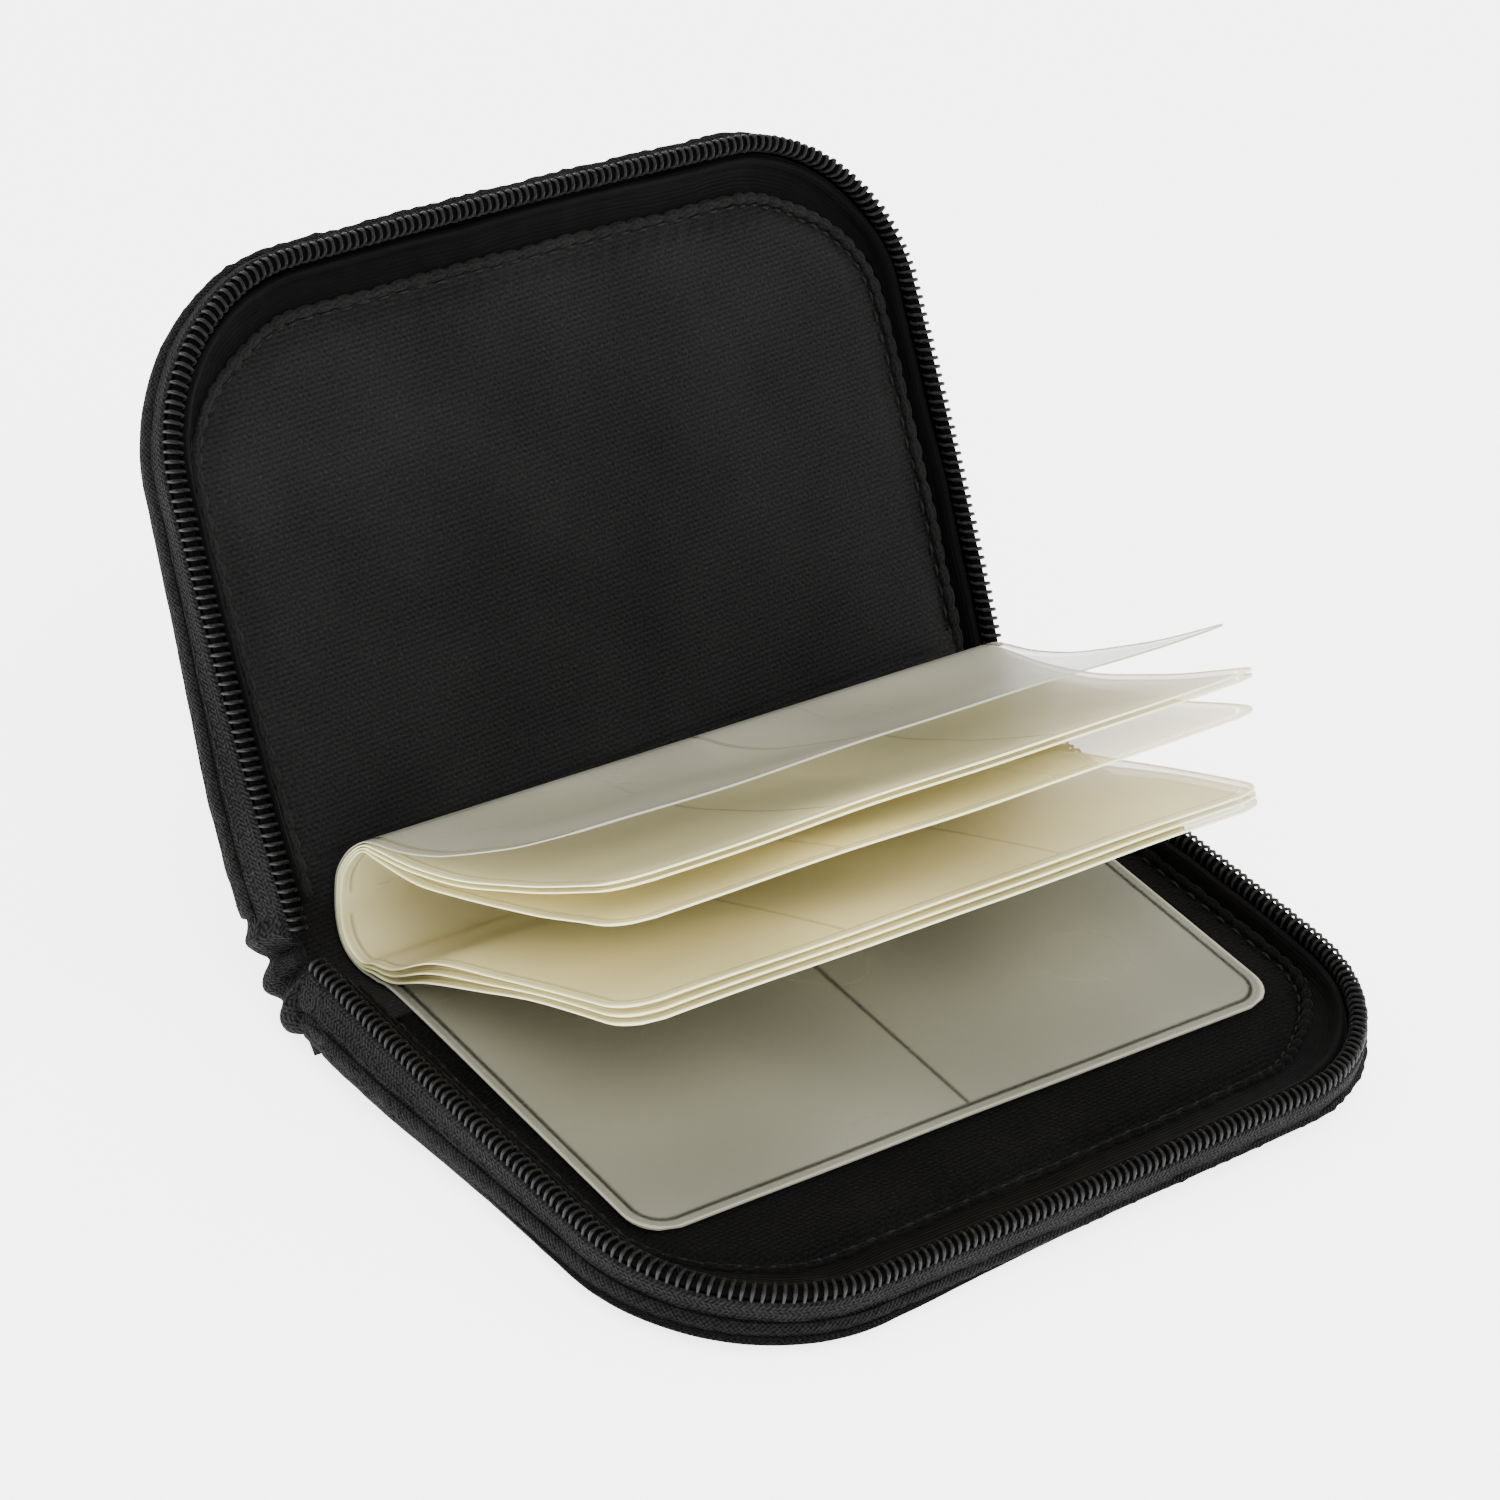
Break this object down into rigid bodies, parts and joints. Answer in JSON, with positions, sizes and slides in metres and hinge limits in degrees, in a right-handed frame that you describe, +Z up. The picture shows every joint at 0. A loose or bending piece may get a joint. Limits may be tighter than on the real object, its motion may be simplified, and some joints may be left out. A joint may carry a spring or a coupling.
{
  "type": "sd card case",
  "caption": "Black zippered memory card case standing open on its base, with frosted film pocket pages fanned between two padded halves",
  "frame": {"origin": "on the flat underside of the base, midway along the spine and under the middle of the base", "axes": "+X along the spine to the right in the picture, -Y from the spine to the free edge of the base, +Z up"},
  "size_m": [0.1246, 0.1325, 0.0824],
  "materials": {
    "cover_fabric": "matt woven nylon",
    "lining_twill": "matt fine twill",
    "foam_core": "closed cell foam",
    "satin_binding": "satin weave with a soft sheen",
    "zip_tape": "woven tape",
    "zip_coil": "moulded coil teeth",
    "page_film": "frosted see-through film",
    "thread": "stitched strip",
    "slider_metal": "black lacquer"
  },
  "bodies": {
    "base": {"base_cover": "cover_fabric", "base_core": "foam_core", "base_lining": "lining_twill", "base_piping": "lining_twill", "base_binding": "satin_binding", "base_zip_tape": "zip_tape", "base_zip_teeth": "zip_coil", "spine_cover": "cover_fabric", "spine_lining": "lining_twill", "spine_end_left": "zip_tape", "spine_end_right": "zip_tape", "page_sheet_outer": "page_film", "page_sheet_second": "page_film", "page_sheet_third": "page_film", "page_sheet_inner": "page_film", "page_stitching": "thread", "zip_slider": "slider_metal"},
    "lid": {"lid_cover": "cover_fabric", "lid_core": "foam_core", "lid_lining": "lining_twill", "lid_piping": "lining_twill", "lid_binding": "satin_binding", "lid_zip_tape": "zip_tape", "lid_zip_teeth": "zip_coil"},
    "pull": {"zip_pull": "slider_metal"}
  },
  "joints": [
    {"name": "lid_hinge", "type": "hinge", "parent": "base", "child": "lid", "pos_m": [0, 0.044, 0.0115], "axis": [1, 0, 0], "range_deg": [0, 124], "deforming": ["page_sheet_outer", "page_sheet_second", "page_sheet_third", "page_sheet_inner", "spine_cover", "spine_lining", "spine_end_left", "spine_end_right"]},
    {"name": "zip_pull_swing", "type": "hinge", "parent": "base", "child": "pull", "pos_m": [0.0622, 0.044, 0.0115], "axis": [0, 0, -1], "range_deg": [0, 170]}
  ]
}
